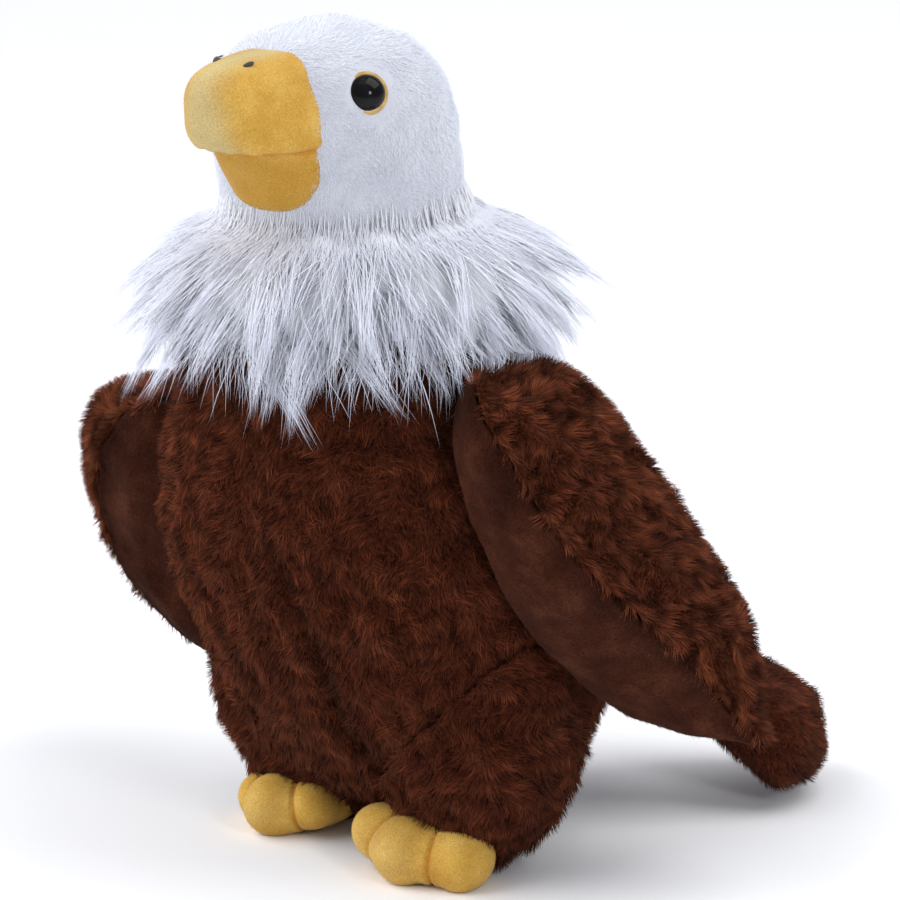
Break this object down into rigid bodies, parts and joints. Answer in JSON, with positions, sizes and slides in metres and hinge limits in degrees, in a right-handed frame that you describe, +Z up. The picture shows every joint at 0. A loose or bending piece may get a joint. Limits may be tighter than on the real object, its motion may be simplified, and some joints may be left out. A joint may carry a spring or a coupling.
{
  "type": "plush toy bald eagle",
  "caption": "Stuffed plush bird with a white head, long fur collar, big soft bill, glossy eyes, half-open wings, padded feet and a tail that props it on the floor",
  "frame": {"origin": "at floor level, in the middle of the bounding box of the whole toy", "axes": "+Z up; the bird faces -Y and its left side is +X"},
  "size_m": [0.2852, 0.2658, 0.2925],
  "materials": {
    "brown_pile": "medium curly pile, matte brown",
    "white_pile": "short dense pile, matte white",
    "ruff_pile": "long silky pile, white",
    "wing_pile": "longer soft pile, warm brown",
    "brown_velour": "short velour, brown with a soft sheen",
    "yellow_velour": "short velour, golden yellow",
    "black_gloss": "polished black",
    "amber_gloss": "polished amber",
    "black_thread": "satin stitched black thread"
  },
  "bodies": {
    "root": {"trunk": "brown_pile", "leg_left": "brown_pile", "leg_right": "brown_pile", "tail": "brown_pile", "head": "white_pile", "ruff": "ruff_pile", "bill_upper": "yellow_velour", "bill_lower": "yellow_velour", "foot_left": "yellow_velour", "foot_right": "yellow_velour", "nostril_left": "black_thread", "nostril_right": "black_thread", "pupil_left": "black_gloss", "pupil_right": "black_gloss", "iris_left": "amber_gloss", "iris_right": "amber_gloss", "wing_cover_left": "wing_pile", "wing_cover_right": "wing_pile", "wing_lining_left": "brown_velour", "wing_lining_right": "brown_velour"}
  },
  "joints": []
}
